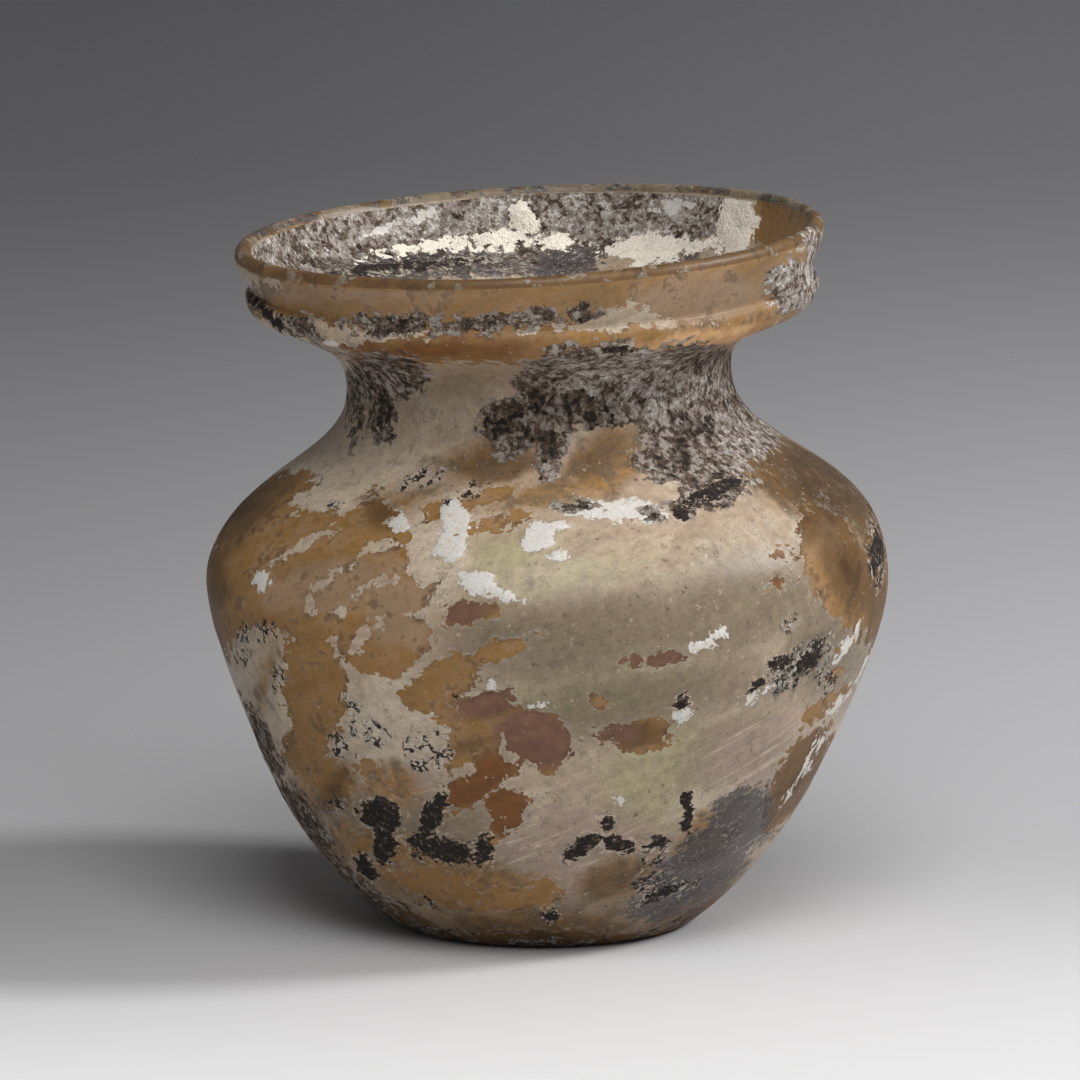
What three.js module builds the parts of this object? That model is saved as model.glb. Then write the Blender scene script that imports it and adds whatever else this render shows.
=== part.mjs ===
// A squat blown-glass unguent jar: round body, short neck, wide folded collar, hand-made lean.
// Millimetres, +Z up, origin on the ground under the middle of the body.
import * as THREE from "three";

// Driving dimensions: radii and heights of the outside before the collar leans.
const BELLY_R = 37.0;
const BELLY_Z = 37.5;
const NECK_R = 20.7;
const NECK_Z = 59.7;

// Base: a flat resting ring around a shallow hollow that was pushed up while the glass was soft.
const KICK_RISE = 1.8;
const KICK_EDGE = [6.5, 0.2];
const REST_INNER_R = 8.5;
const REST_OUTER_R = 15.6;
const FOOT = [18.0, 1.2];

// Middle of the lower wall, and handles that say how far the body's curves hold their direction,
// each as [radius, height].
const FOOT_FLAT = [16.7, 0];
const FOOT_TURN = [17.3, 0.6];
const WALL_SPREAD = [25.96, 8.15];
const WALL_STEEPEN = [28.57, 13.64];
const WALL_MID = [31.36, 20.0];
const WALL_CLIMB = [34.29, 26.68];
const WALL_UPRIGHT = [BELLY_R, 33.4];
const SHOULDER_UPRIGHT = [BELLY_R, 49.7];
const NECK_UPRIGHT = [NECK_R, 50.45];

// Collar: the rim was folded out and down, which leaves a bead below a groove.
const FLARE_UPRIGHT = [NECK_R, 63.9];
const FLARE_SPREAD = [24.0, 64.5];
const COLLAR_ROOT = [29.2, 66.7];
const BEAD_UNDER = [30.4, 67.2];
const BEAD_OVER = [31.1, 69.2];
const GROOVE = [29.9, 69.8];
const COLLAR_LOW = [30.2, 70.8];
const COLLAR_HIGH = [31.6, 72.8];
const LIP_R = 31.8;
const LIP_INNER_R = 30.2;
const LIP_SIDE_Z = 74.7;
const LIP_CROWN_Z = 76.0;

// Mouth: a shallow cup inside the collar that slopes down to the throat.
const CUP_WALL_HIGH = [29.6, 72.6];
const CUP_WALL_LOW = [28.7, 70.2];
const CUP_CORNER = [27.5, 69.5];
const CUP_FLOOR = [24.0, 67.6];
const THROAT_EDGE = [19.3, 67.0];
const THROAT = [18.9, 64.6];

// Glass thickness.
const WALL = 1.7;
const BASE_THICKNESS = 3.2;

// Hand-made errors: the top leans towards -X and the base sits off centre. The folded part of the
// collar sags on +X, lifts a little at both sides and sits off centre under the lip.
const SHOULDER_LEAN = THREE.MathUtils.degToRad(2.4);
const RIM_LEAN = THREE.MathUtils.degToRad(3.0);
const LEAN_START_Z = BELLY_Z - 2;
const LEAN_FULL_Z = BELLY_Z + 7;
const BEAD_SAG = 1.0;
const BEAD_LIFT = 0.4;
const BEAD_SHIFT_X = -0.4;
const BASE_SHIFT_X = -0.56;

// Facets: steps along each stretch of the section, and around the jar.
const STEPS = {
  kick: 4,
  foot: 3,
  lowerWall: 5,
  upperWall: 5,
  shoulder: 9,
  flare: 4,
  bead: 5,
  collarWall: 3,
  lip: 4,
  cupWall: 3,
  cupFloor: 4,
  insideShoulder: 7,
  insideWall: 5,
};
const SEGMENTS_AROUND = 56;

const GLASS_COLOUR = 0x9a7f5c;
const GLASS_ROUGHNESS = 0.5;

const point = ([r, z]) => new THREE.Vector2(r, z);
const bend = (...points) => new THREE.CubicBezierCurve(...points.map(point));

// The hollow under the base, from its middle out to the resting ring.
const kick = bend([0, KICK_RISE], [REST_INNER_R / 2, KICK_RISE], KICK_EDGE, [REST_INNER_R, 0]);

// The body's outside, from the resting ring up to the neck.
const foot = bend([REST_OUTER_R, 0], FOOT_FLAT, FOOT_TURN, FOOT);
const lowerWall = bend(FOOT, WALL_SPREAD, WALL_STEEPEN, WALL_MID);
const upperWall = bend(WALL_MID, WALL_CLIMB, WALL_UPRIGHT, [BELLY_R, BELLY_Z]);
const shoulder = bend([BELLY_R, BELLY_Z], SHOULDER_UPRIGHT, NECK_UPRIGHT, [NECK_R, NECK_Z]);

// The collar's outside: flare from the neck, folded bead, groove, sloping wall and round lip.
const flare = bend([NECK_R, NECK_Z], FLARE_UPRIGHT, FLARE_SPREAD, COLLAR_ROOT);
const bead = bend(COLLAR_ROOT, BEAD_UNDER, BEAD_OVER, GROOVE);
const collarWall = bend(GROOVE, COLLAR_LOW, COLLAR_HIGH, [LIP_R, LIP_SIDE_Z]);
const lip = bend(
  [LIP_R, LIP_SIDE_Z],
  [LIP_R, LIP_CROWN_Z],
  [LIP_INNER_R, LIP_CROWN_Z],
  [LIP_INNER_R, LIP_SIDE_Z],
);

// The mouth's inside, from the lip down to the throat.
const cupWall = bend([LIP_INNER_R, LIP_SIDE_Z], CUP_WALL_HIGH, CUP_WALL_LOW, CUP_CORNER);
const cupFloor = bend(CUP_CORNER, CUP_FLOOR, THROAT_EDGE, THROAT);

// Points along a curve without its last one, which starts the next curve.
const along = (curve, steps) => curve.getPoints(steps).slice(0, steps);

// Points of an outside curve moved in by the glass thickness, from its top to its bottom.
function insideOf(curve, steps, thickness) {
  const inner = [];
  for (let i = steps; i >= 0; i -= 1) {
    const outer = curve.getPoint(i / steps);
    const way = curve.getTangent(i / steps);
    inner.push(new THREE.Vector2(outer.x - way.y * thickness, outer.y + way.x * thickness));
  }
  return inner;
}

// The whole section, from the middle of the underside over the lip to the middle of the inside floor.
function jarSection() {
  return [
    ...along(kick, STEPS.kick),
    new THREE.Vector2(REST_INNER_R, 0),
    ...along(foot, STEPS.foot),
    ...along(lowerWall, STEPS.lowerWall),
    ...along(upperWall, STEPS.upperWall),
    ...along(shoulder, STEPS.shoulder),
    ...along(flare, STEPS.flare),
    ...along(bead, STEPS.bead),
    ...along(collarWall, STEPS.collarWall),
    ...along(lip, STEPS.lip),
    ...along(cupWall, STEPS.cupWall),
    ...along(cupFloor, STEPS.cupFloor),
    ...insideOf(shoulder, STEPS.insideShoulder, WALL),
    ...insideOf(upperWall, STEPS.insideWall, WALL).slice(1),
    ...insideOf(lowerWall, STEPS.insideWall, WALL).slice(1),
    new THREE.Vector2(REST_INNER_R, BASE_THICKNESS),
    new THREE.Vector2(0, KICK_RISE + BASE_THICKNESS),
  ];
}

// Moves one point of the true revolved form to where the hand-made jar has it.
function handMade(x, y, z) {
  const { smoothstep } = THREE.MathUtils;
  const [, rootZ] = COLLAR_ROOT;
  const [, grooveZ] = GROOVE;
  const baseShift = BASE_SHIFT_X * (1 - smoothstep(z, 0, BELLY_Z));
  const inCollar = smoothstep(z, NECK_Z, rootZ) * (1 - smoothstep(z, grooveZ, LIP_SIDE_Z));
  const across = x / LIP_R;
  const sag = inCollar * (BEAD_SAG * across - BEAD_LIFT * across ** 2);
  const leanAtShoulder = SHOULDER_LEAN * smoothstep(z, LEAN_START_Z, LEAN_FULL_Z);
  const leanAtRim = (RIM_LEAN - SHOULDER_LEAN) * smoothstep(z, NECK_Z, grooveZ);
  const lean = leanAtShoulder + leanAtRim;
  const out = x + BEAD_SHIFT_X * inCollar;
  const rise = z - sag - BELLY_Z;
  return [
    baseShift + out * Math.cos(lean) - rise * Math.sin(lean),
    y,
    BELLY_Z + out * Math.sin(lean) + rise * Math.cos(lean),
  ];
}

function jarGeometry() {
  const geometry = new THREE.LatheGeometry(jarSection(), SEGMENTS_AROUND);
  geometry.rotateX(Math.PI / 2);
  const place = geometry.getAttribute("position");
  for (let i = 0; i < place.count; i += 1) {
    place.setXYZ(i, ...handMade(place.getX(i), place.getY(i), place.getZ(i)));
  }
  geometry.computeVertexNormals();
  return geometry;
}

const glass = new THREE.MeshStandardMaterial({
  color: GLASS_COLOUR,
  roughness: GLASS_ROUGHNESS,
  metalness: 0,
});
const jar = new THREE.Mesh(jarGeometry(), glass);
jar.name = "jar";

const part = new THREE.Group();
part.add(jar);

export default part;
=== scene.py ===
"""A weathered Roman glass unguent jar: one revolved piece with films and crusts, on a plain stage."""

import math
from collections import namedtuple

import bpy
import numpy as np
from bpy.props import FloatProperty, FloatVectorProperty, IntProperty, PointerProperty
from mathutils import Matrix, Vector, noise


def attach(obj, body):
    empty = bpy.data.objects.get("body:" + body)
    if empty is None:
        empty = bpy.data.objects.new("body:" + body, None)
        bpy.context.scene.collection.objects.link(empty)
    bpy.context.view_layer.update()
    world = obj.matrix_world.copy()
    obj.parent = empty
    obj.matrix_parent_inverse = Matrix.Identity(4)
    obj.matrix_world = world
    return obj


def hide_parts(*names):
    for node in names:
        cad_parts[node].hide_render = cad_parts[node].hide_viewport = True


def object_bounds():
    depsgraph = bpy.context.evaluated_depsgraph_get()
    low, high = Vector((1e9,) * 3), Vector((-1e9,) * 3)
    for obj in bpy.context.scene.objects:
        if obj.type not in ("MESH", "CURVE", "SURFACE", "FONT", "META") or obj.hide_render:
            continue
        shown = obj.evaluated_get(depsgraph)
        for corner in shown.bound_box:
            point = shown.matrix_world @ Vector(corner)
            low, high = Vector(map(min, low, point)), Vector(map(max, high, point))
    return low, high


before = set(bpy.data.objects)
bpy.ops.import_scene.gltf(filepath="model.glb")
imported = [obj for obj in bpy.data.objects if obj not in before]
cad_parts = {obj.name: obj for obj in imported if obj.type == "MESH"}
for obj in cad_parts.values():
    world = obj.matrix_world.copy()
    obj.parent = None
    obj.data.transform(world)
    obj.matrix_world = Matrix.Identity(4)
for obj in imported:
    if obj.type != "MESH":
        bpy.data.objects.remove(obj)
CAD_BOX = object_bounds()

bl_info = {
    "name": "Roman glass unguent jar",
    "version": (1, 0, 0),
    "blender": (4, 5, 0),
    "location": "3D View > Sidebar > Unguent jar",
    "description": "Builds a weathered Roman glass jar around its packed solid",
    "category": "Object",
}

JAR_NODE = "jar"
JAR_BODY = "root"
MM = 0.001

# The photograph's camera, in millimetres of the jar's frame, and its square picture in pixels.
PICTURE = 1080
CAMERA_PLACE = (-0.775, -1062.0, 245.0)
CAMERA_PITCH = math.radians(10.843)
FOCAL_PIXELS = 9964.26
PIXELS_PER_MM = 9.2
SENSOR_MM = 36.0

# The section in millimetres, as (radius, height), on the same curves as the solid.
BELLY = (37.0, 37.5)
NECK = (20.7, 59.7)
KICK_TOP = (0.0, 1.8)
KICK_FLAT = (4.25, 1.8)
KICK_EDGE = (6.5, 0.2)
REST_INNER = (8.5, 0.0)
REST_OUTER = (15.6, 0.0)
FOOT_FLAT = (16.7, 0.0)
FOOT_TURN = (17.3, 0.6)
FOOT = (18.0, 1.2)
WALL_SPREAD = (25.96, 8.15)
WALL_STEEPEN = (28.57, 13.64)
WALL_MID = (31.36, 20.0)
WALL_CLIMB = (34.29, 26.68)
WALL_UPRIGHT = (37.0, 33.4)
SHOULDER_UPRIGHT = (37.0, 49.7)
NECK_UPRIGHT = (20.7, 50.45)
FLARE_UPRIGHT = (20.7, 63.9)
FLARE_SPREAD = (24.0, 64.5)
COLLAR_ROOT = (29.2, 66.7)
BEAD_UNDER = (30.4, 67.2)
BEAD_OVER = (31.1, 69.2)
GROOVE = (29.9, 69.8)
COLLAR_LOW = (30.2, 70.8)
COLLAR_HIGH = (31.6, 72.8)
LIP_OUTER = (31.8, 74.7)
LIP_OUTER_CROWN = (31.8, 76.0)
LIP_INNER_CROWN = (30.2, 76.0)
LIP_INNER = (30.2, 74.7)
CUP_WALL_HIGH = (29.6, 72.6)
CUP_WALL_LOW = (28.7, 70.2)
CUP_CORNER = (27.5, 69.5)
CUP_FLOOR = (24.0, 67.6)
THROAT_EDGE = (19.3, 67.0)
THROAT = (18.9, 64.6)
WALL = 1.7
INSIDE_FLOOR_EDGE = (8.5, 3.2)
INSIDE_FLOOR_TOP = (0.0, 5.0)

# Hand-made errors of the solid: the top leans, the folded collar sags, the base sits off centre.
SHOULDER_LEAN = math.radians(2.4)
RIM_LEAN = math.radians(3.0)
LEAN_START_Z = 35.5
LEAN_FULL_Z = 44.5
BEAD_SAG = 1.0
BEAD_LIFT = 0.4
BEAD_SHIFT_X = -0.4
BASE_SHIFT_X = -0.56

# Step between rings in millimetres.
UNDER_STEP = 1.2
OUTSIDE_STEP = 0.48
COLLAR_STEP = 0.42
MOUTH_STEP = 0.5
INSIDE_STEP = 2.6
# How much closer the columns stand at the front than on average.
FRONT_CROWDING = 0.45
# Zones of the section.
UNDERSIDE, OUTSIDE, LIP, MOUTH, INSIDE = range(5)

# Rise in millimetres for each radian that the streaks turn round the body.
STREAK_CLIMB = 13.0
# Millimetres below a layer's edge that stand for no layer at all.
OUTSIDE_DEPTH = 5.0
# Heights in millimetres over which the brown blotches that darken the top of the collar and the lip, and
# the collar's gloss, begin.
COLLAR_TOP_BLOTCH_START = (72.8, 75.2)
COLLAR_GLOSS_START = (69.5, 71.0)
# How squarely a face meets the photograph's camera, from where its patches begin to where they hold fully.
SEEN_FACING = (-0.14, 0.04)
# Height in millimetres of a sight line over the front of the lip, from hidden to seen.
SEEN_OVER_LIP = (-1.8, -0.5)

# The stage in metres.
FLOOR_HALF = 4.0
LIGHT_AIM = (0.0, 0.0, 0.04)
KEY_PLACE = (1.05, -0.03, 0.80)
KEY_SIZE = 0.26
FRONT_PLACE = (0.08, -0.74, 1.05)
FRONT_SIZE = 0.70

# A patch is an ellipse seen from the front: its middle and half sizes in pixels of the photograph,
# and how far it rises to the right in degrees.
Patch = namedtuple("Patch", "x y half_wide half_high rise", defaults=(0,))

# Where the film has come away with a torn edge and the glass shows.
BARE_GLASS = {
    "left shoulder": Patch(262, 514, 60, 28, 38),
    "left belly": Patch(318, 576, 118, 64, 0),
    "left tip": Patch(372, 516, 26, 11, 12),
    "left belly low": Patch(384, 642, 48, 34, 0),
    "left edge": Patch(230, 590, 26, 70, 0),
    "left tongue": Patch(316, 688, 31, 58, 2),
    "left tongue foot": Patch(304, 748, 20, 26, 0),
    "brown bar": Patch(487, 655, 44, 10, 20),
    "brown block": Patch(438, 690, 40, 20, 16),
    "brown joint": Patch(452, 668, 34, 13, 20),
    "brown chain": Patch(462, 716, 34, 20, -30),
    "plum under the flakes": Patch(466, 614, 28, 11, 10),
    "stripe left of the flakes": Patch(433, 512, 13, 7, 20),
    "stripe above the flakes": Patch(486, 497, 30, 7, 14),
    "stripe right of the flakes": Patch(494, 525, 28, 9, 18),
    "ochre dot": Patch(372, 491, 8, 5, 20),
    "plum band": Patch(488, 700, 32, 12, 6),
    "plum patch": Patch(538, 739, 38, 26, -10),
    "brown under the plum": Patch(477, 738, 32, 26, 20),
    "brown under the plum low": Patch(462, 762, 22, 13, 30),
    "plum band right": Patch(518, 718, 28, 12, -14),
    "red joint": Patch(486, 768, 24, 18, 40),
    "red streak": Patch(480, 784, 46, 15, 32),
    "red patch": Patch(506, 808, 23, 21, 0),
    "red patch tail": Patch(497, 828, 10, 14, 0),
    "low amber dot": Patch(372, 768, 16, 9, -38),
    "low amber dot left": Patch(361, 843, 10, 11, 0),
    "low olive": Patch(330, 782, 26, 18, -40),
    "low ochre": Patch(440, 886, 44, 16, -18),
    "low ochre right": Patch(520, 896, 40, 14, 8),
    "brown patch": Patch(645, 736, 28, 18, 14),
    "brown patch tail": Patch(606, 734, 18, 8, 0),
    "small amber": Patch(549, 765, 12, 9, 0),
    "red dot": Patch(665, 660, 18, 8, 12),
    "red dot left": Patch(633, 662, 7, 7, 0),
    "red speck": Patch(622, 661, 5, 5, 0),
    "olive speck": Patch(598, 699, 6, 6, 0),
    "olive edge": Patch(796, 778, 62, 20, 59),
    "right edge dot": Patch(822, 706, 28, 9, 40),
    "right edge spot": Patch(850, 640, 10, 5, 40),
    "right edge spot low": Patch(838, 672, 9, 5, 40),
    "right amber": Patch(836, 566, 66, 31, -68),
    "right rim": Patch(876, 590, 14, 76, 2),
    "right red line": Patch(780, 581, 14, 5, 16),
    "right red blotch": Patch(780, 554, 9, 5, 0),
    "foot": Patch(548, 950, 150, 20, 0),
    "foot left": Patch(410, 922, 46, 11, -32),
    "foot right": Patch(690, 920, 50, 11, 30),
    "collar": Patch(540, 288, 316, 36, 3),
    "collar right": Patch(722, 304, 122, 48, 12),
    "bead": Patch(560, 345, 216, 17, 2),
    "bead right": Patch(748, 334, 92, 24, 14),
    "bead middle": Patch(664, 344, 46, 14, 5),
}

# Scraps of film left standing on the bare glass.
FILM_SCRAPS = {
    "wedge": Patch(310, 500, 20, 10, 30),
    "left streak": Patch(298, 548, 26, 4, 28),
    "cream streak": Patch(327, 579, 16, 4, 36),
    "cream dots": Patch(353, 567, 6, 3, 0),
    "cream streak right": Patch(386, 581, 28, 5, 22),
    "cream curl": Patch(366, 552, 8, 3, 45),
    "cream curl top": Patch(386, 546, 14, 3, 12),
    "upright": Patch(310, 611, 3, 10, 0),
    "orange crumbs": Patch(338, 610, 7, 4, 30),
    "scrap by the plum": Patch(364, 636, 25, 7, 50),
    "by the flakes": Patch(427, 556, 19, 26, 0),
    "inlet": Patch(436, 615, 9, 18, -4),
    "scar ground": Patch(260, 652, 28, 32, -50),
    "collar square": Patch(622, 316, 31, 14, 4),
    "collar fringe": Patch(560, 328, 84, 3, 2),
    "under left collar": Patch(318, 329, 34, 9, -20),
    "crumb on the red": Patch(470, 772, 8, 4, 30),
}

# Soft amber and brown stains where the film is thin and has no edge.
STAINS = {
    "under the neck": Patch(494, 463, 56, 24, 10),
    "right of the tail": Patch(606, 462, 50, 32, 32),
    "stripes": Patch(540, 492, 70, 14, 12),
    "right shoulder": Patch(806, 482, 84, 36, -28),
    "right shoulder edge": Patch(864, 524, 22, 44, 20),
    "ochre foot": Patch(470, 888, 92, 30, -6),
    "ochre foot left": Patch(404, 866, 34, 30, -40),
    "olive tongue": Patch(328, 786, 32, 32, -40),
    "low brown": Patch(616, 880, 44, 22, 20),
    "brown by the slate": Patch(706, 836, 36, 24, 30),
    "foot": Patch(540, 926, 140, 20, -2),
    "foot right": Patch(690, 905, 66, 18, 30),
    "low left edge": Patch(330, 850, 24, 34, -50),
    "below the squiggles": Patch(392, 784, 30, 22, -20),
    "left of the flakes": Patch(400, 500, 30, 12, 12),
    "left mottles": Patch(264, 684, 9, 50, -16),
}

# Thick white flakes of film.
WHITE_FLAKES = {
    "tall flake": Patch(456, 520, 15, 20, 16),
    "tall flake foot": Patch(450, 548, 15, 16, 0),
    "wide flake": Patch(478, 582, 16, 12, 0),
    "wide flake right": Patch(500, 595, 18, 8, -12),
    "square flake": Patch(400, 523, 9, 9, 10),
    "right flake": Patch(536, 540, 18, 12, 10),
    "right flake top": Patch(552, 528, 20, 6, 8),
    "far right flake": Patch(556, 556, 9, 5, 0),
    "left dot": Patch(262, 580, 8, 10, 0),
    "hook flake": Patch(704, 642, 12, 4, 25),
    "hook flake end": Patch(718, 632, 8, 7, 0),
    "scarred band": Patch(614, 511, 60, 12, -3),
    "spot under left collar": Patch(329, 343, 9, 5, 0),
    "lump foot": Patch(786, 292, 22, 12, 40),
    "neck right": Patch(742, 442, 16, 8, -50),
    "ringed dot foot": Patch(681, 715, 8, 6, 30),
    "small dot": Patch(620, 801, 5, 5, 0),
    "right crust fringe": Patch(770, 686, 26, 4, 30),
    "right edge streak": Patch(848, 642, 18, 3, 56),
    "right low line": Patch(810, 758, 40, 2, 58),
    "right edge line": Patch(864, 664, 22, 2, 62),
    "right edge dots": Patch(836, 702, 12, 3, 50),
    "oval dot": Patch(547, 705, 10, 4, 0),
    "oval dot left": Patch(490, 683, 5, 4, 0),
}

# Scarred places: thin black lines with pale fringes.
SCARRED = {
    "shoulder": Patch(422, 478, 32, 10, 18),
    "shoulder low": Patch(466, 493, 27, 9, 18),
    "shoulder dots": Patch(338, 506, 10, 5, 6),
    "shoulder specks": Patch(322, 480, 6, 6, 40),
    "left dots": Patch(242, 642, 9, 24, 4),
    "left dots inner": Patch(266, 630, 14, 13, -20),
    "left dots low": Patch(279, 678, 9, 14, 0),
    "squiggles": Patch(371, 732, 25, 14, -14),
    "squiggles top": Patch(355, 708, 9, 9, 0),
    "squiggles left": Patch(337, 741, 14, 18, 0),
    "grey cracks": Patch(428, 750, 24, 24, 0),
    "cracks above": Patch(452, 700, 12, 8, -40),
    "thin flake": Patch(792, 622, 14, 9, 28),
    "right": Patch(800, 664, 40, 20, 34),
    "right low": Patch(826, 680, 14, 12, 40),
    "low left": Patch(336, 806, 12, 8, 0),
    "low middle": Patch(655, 850, 16, 18, 0),
    "slate fringe": Patch(648, 882, 26, 14, 24),
    "right edge": Patch(874, 556, 10, 34, 4),
    "ring by the foot": Patch(551, 914, 11, 11, 0),
    "dot by the foot": Patch(424, 902, 12, 7, -30),
    "collar left": Patch(276, 318, 32, 9, -32),
}

# Black crust with crisp edges.
DARK_CRUST = {
    "shoulder crust": Patch(716, 490, 30, 7, 24),
    "shoulder crust foot": Patch(682, 514, 8, 9, 0),
    "slate core": Patch(668, 890, 20, 4, 24),
    "right edge": Patch(876, 552, 6, 22, 0),
    "right streak": Patch(808, 660, 22, 6, 48),
    "right streak low": Patch(779, 664, 12, 6, 20),
    "right streak tail": Patch(760, 684, 14, 3, 26),
    "low left": Patch(381, 815, 22, 15, -8),
    "low left foot": Patch(384, 844, 12, 20, 0),
    "boot leg": Patch(434, 816, 9, 24, -22),
    "boot sole": Patch(440, 848, 34, 12, -12),
    "boot toe": Patch(484, 848, 10, 15, 0),
    "low middle": Patch(582, 845, 24, 9, 26),
    "low middle top": Patch(607, 821, 8, 8, 30),
    "low middle right": Patch(616, 844, 16, 9, -20),
    "low dot": Patch(656, 842, 12, 7, 10),
    "upright": Patch(687, 803, 7, 10, 20),
    "upright foot": Patch(685, 820, 7, 10, -10),
    "ringed dot": Patch(682, 703, 8, 6, 30),
    "ring by the foot": Patch(551, 914, 6, 7, 0),
    "trail": Patch(366, 866, 16, 8, -48),
    "bead notch": Patch(618, 352, 12, 4, 8),
    "collar left": Patch(266, 310, 22, 5, -44),
}

# A grey slate veil that lets the film show through.
SLATE_VEIL = {
    "slate high": Patch(738, 824, 46, 30, 52),
    "slate middle": Patch(702, 864, 66, 32, 40),
    "slate low": Patch(662, 902, 38, 16, 18),
    "right crust": Patch(802, 662, 36, 13, 42),
}

# Grainy mixed crust of dark and pale specks, and where it is silvery.
SPECKLED_CRUST = {
    "neck left": Patch(388, 376, 40, 28, 0),
    "neck left tail": Patch(383, 414, 14, 32, 6),
    "neck left edge": Patch(356, 396, 10, 46, 0),
    "neck middle": Patch(604, 386, 92, 44, 0),
    "neck middle left": Patch(514, 426, 36, 30, 0),
    "neck tail": Patch(550, 452, 17, 32, 0),
    "neck right": Patch(694, 404, 64, 64, 0),
    "shoulder": Patch(694, 460, 66, 26, 4),
    "shoulder low": Patch(712, 490, 44, 20, 20),
    "shoulder left": Patch(690, 504, 24, 14, 10),
    "neck right edge": Patch(748, 432, 30, 30, -40),
    "collar lump": Patch(793, 284, 32, 26, 42),
    "lump streaks": Patch(814, 256, 12, 26, 0),
    "collar band": Patch(392, 325, 46, 13, 2),
    "collar band right": Patch(498, 322, 80, 10, 6),
    "collar block": Patch(578, 312, 16, 11, 4),
    "under the collar left": Patch(300, 328, 34, 10, -28),
    "scarred band left": Patch(578, 507, 20, 7, 0),
    "scarred band right": Patch(650, 515, 18, 6, -10),
    "left edge": Patch(264, 742, 46, 12, -63),
    "left edge low": Patch(306, 818, 54, 14, -56),
    "left edge foot": Patch(356, 884, 54, 12, -38),
    "foot left": Patch(436, 931, 74, 6, -14),
    "foot middle": Patch(556, 946, 96, 5, 0),
    "foot right": Patch(668, 928, 50, 4, 20),
}
SILVER = {
    "neck middle": Patch(640, 380, 80, 34, 0),
    "neck edge": Patch(746, 440, 34, 34, 0),
    "lump": Patch(794, 280, 72, 68, 42),
}

# The crust lump that stands out on the right of the collar.
COLLAR_LUMP = {
    "lump": Patch(794, 287, 30, 22, 44),
}

# What lies in the mouth, seen over the lip.
MOUTH_LIME = {
    "left arm": Patch(430, 248, 56, 7, 9),
    "middle left": Patch(502, 241, 36, 11, 6),
    "peak": Patch(524, 219, 14, 20, 24),
    "middle": Patch(556, 243, 28, 8, 0),
    "right arm": Patch(646, 250, 44, 15, 4),
    "right end": Patch(706, 246, 40, 7, 4),
    "upright": Patch(738, 224, 21, 32, -4),
}
MOUTH_WHITE = {
    "left end": Patch(266, 242, 24, 9, 30),
    "left wall": Patch(382, 230, 60, 15, 12),
    "left low": Patch(330, 250, 44, 8, 10),
    "middle": Patch(620, 214, 34, 8, 0),
    "left wall right": Patch(424, 217, 30, 14, 10),
    "right wall": Patch(676, 207, 46, 15, 0),
    "right strip": Patch(706, 222, 8, 22, -8),
}
MOUTH_SLATE = {
    "floor left": Patch(412, 268, 98, 16, 4),
    "floor middle": Patch(574, 262, 40, 17, 4),
    "floor right": Patch(690, 256, 26, 6, 8),
}
MOUTH_DARK = {
    "floor left": Patch(400, 268, 60, 4, 4),
}
MOUTH_SPECKLED = {
    "left wall": Patch(346, 240, 130, 40, 12),
    "middle": Patch(520, 226, 110, 56, 6),
    "wall": Patch(640, 214, 110, 40, 2),
}
MOUTH_SILVER = {
    "all": Patch(560, 220, 400, 80, 0),
}
MOUTH_BARE = {
    "olive end": Patch(792, 222, 40, 36, 0),
    "left lip": Patch(318, 215, 62, 10, 17),
    "middle lip": Patch(514, 201, 34, 7, 4),
}

# Tints of the glass and of the film, some of them painted light and shade as noted below.
HAZE_AND_COLLAR_LIGHT = {
    # The two collar patches are painted light: tan where light shines through the collar from behind. The
    # left amber patches are lighter tan glass.
    "collar right": Patch(690, 304, 76, 24, 10),
    "collar left": Patch(370, 290, 92, 12, 0),
    "left amber": Patch(330, 586, 76, 26, 10),
    "left amber right": Patch(406, 612, 40, 38, 0),
}
BROWN_GLASS_AND_SHADE = {
    "left shoulder": Patch(240, 508, 70, 28, 40),
    # The left edge and right edge patches are painted shade, darkening the glass along the jar's
    # silhouettes.
    "left edge": Patch(214, 590, 14, 90, 0),
    "left tip": Patch(384, 514, 16, 18, 50),
    "right shoulder": Patch(824, 482, 104, 46, -30),
    "right edge": Patch(874, 570, 18, 90, 0),
    "right amber": Patch(846, 566, 62, 27, -68),
    "brown patch": Patch(640, 736, 34, 14, 12),
    "middle": Patch(470, 746, 22, 9, 20),
    "collar left": Patch(250, 294, 24, 22, -30),
    "bead notch": Patch(618, 350, 20, 8, 8),
    "olive edge": Patch(797, 776, 70, 24, 58),
    "under the neck": Patch(500, 468, 56, 16, 6),
    "right of the tail": Patch(600, 458, 36, 20, 30),
    "right top": Patch(806, 520, 30, 26, -40),
    "low": Patch(612, 882, 46, 20, 20),
    "low left": Patch(326, 806, 14, 46, -30),
    # The foot patches are partly dark glass and partly painted shade where the foot turns under toward the
    # floor.
    "foot": Patch(548, 942, 160, 30, 0),
    "foot left": Patch(400, 912, 60, 20, -32),
    "foot right": Patch(690, 912, 70, 20, 30),
}
PLUM_GLASS = {
    "plum": Patch(540, 740, 46, 30, -12),
    "plum band": Patch(491, 702, 36, 16, 8),
    "plum under the flakes": Patch(464, 613, 28, 16, 12),
    "red dots": Patch(655, 660, 44, 16, 8),
    "brown patch tail": Patch(606, 734, 26, 14, 0),
}
RED_GLASS = {
    "red streak": Patch(478, 784, 48, 18, 32),
    "red patch": Patch(506, 810, 24, 26, 0),
    "bead left": Patch(440, 350, 116, 10, 2),
    "right red": Patch(780, 570, 20, 24, 0),
}
PALE_FILM = {
    "by the flakes": Patch(436, 556, 38, 46, 0),
    "left low": Patch(290, 690, 50, 40, -60),
    "low left": Patch(400, 720, 60, 50, 0),
    "low right": Patch(706, 800, 40, 16, 20),
    "upper left": Patch(344, 472, 90, 36, 18),
}
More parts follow.
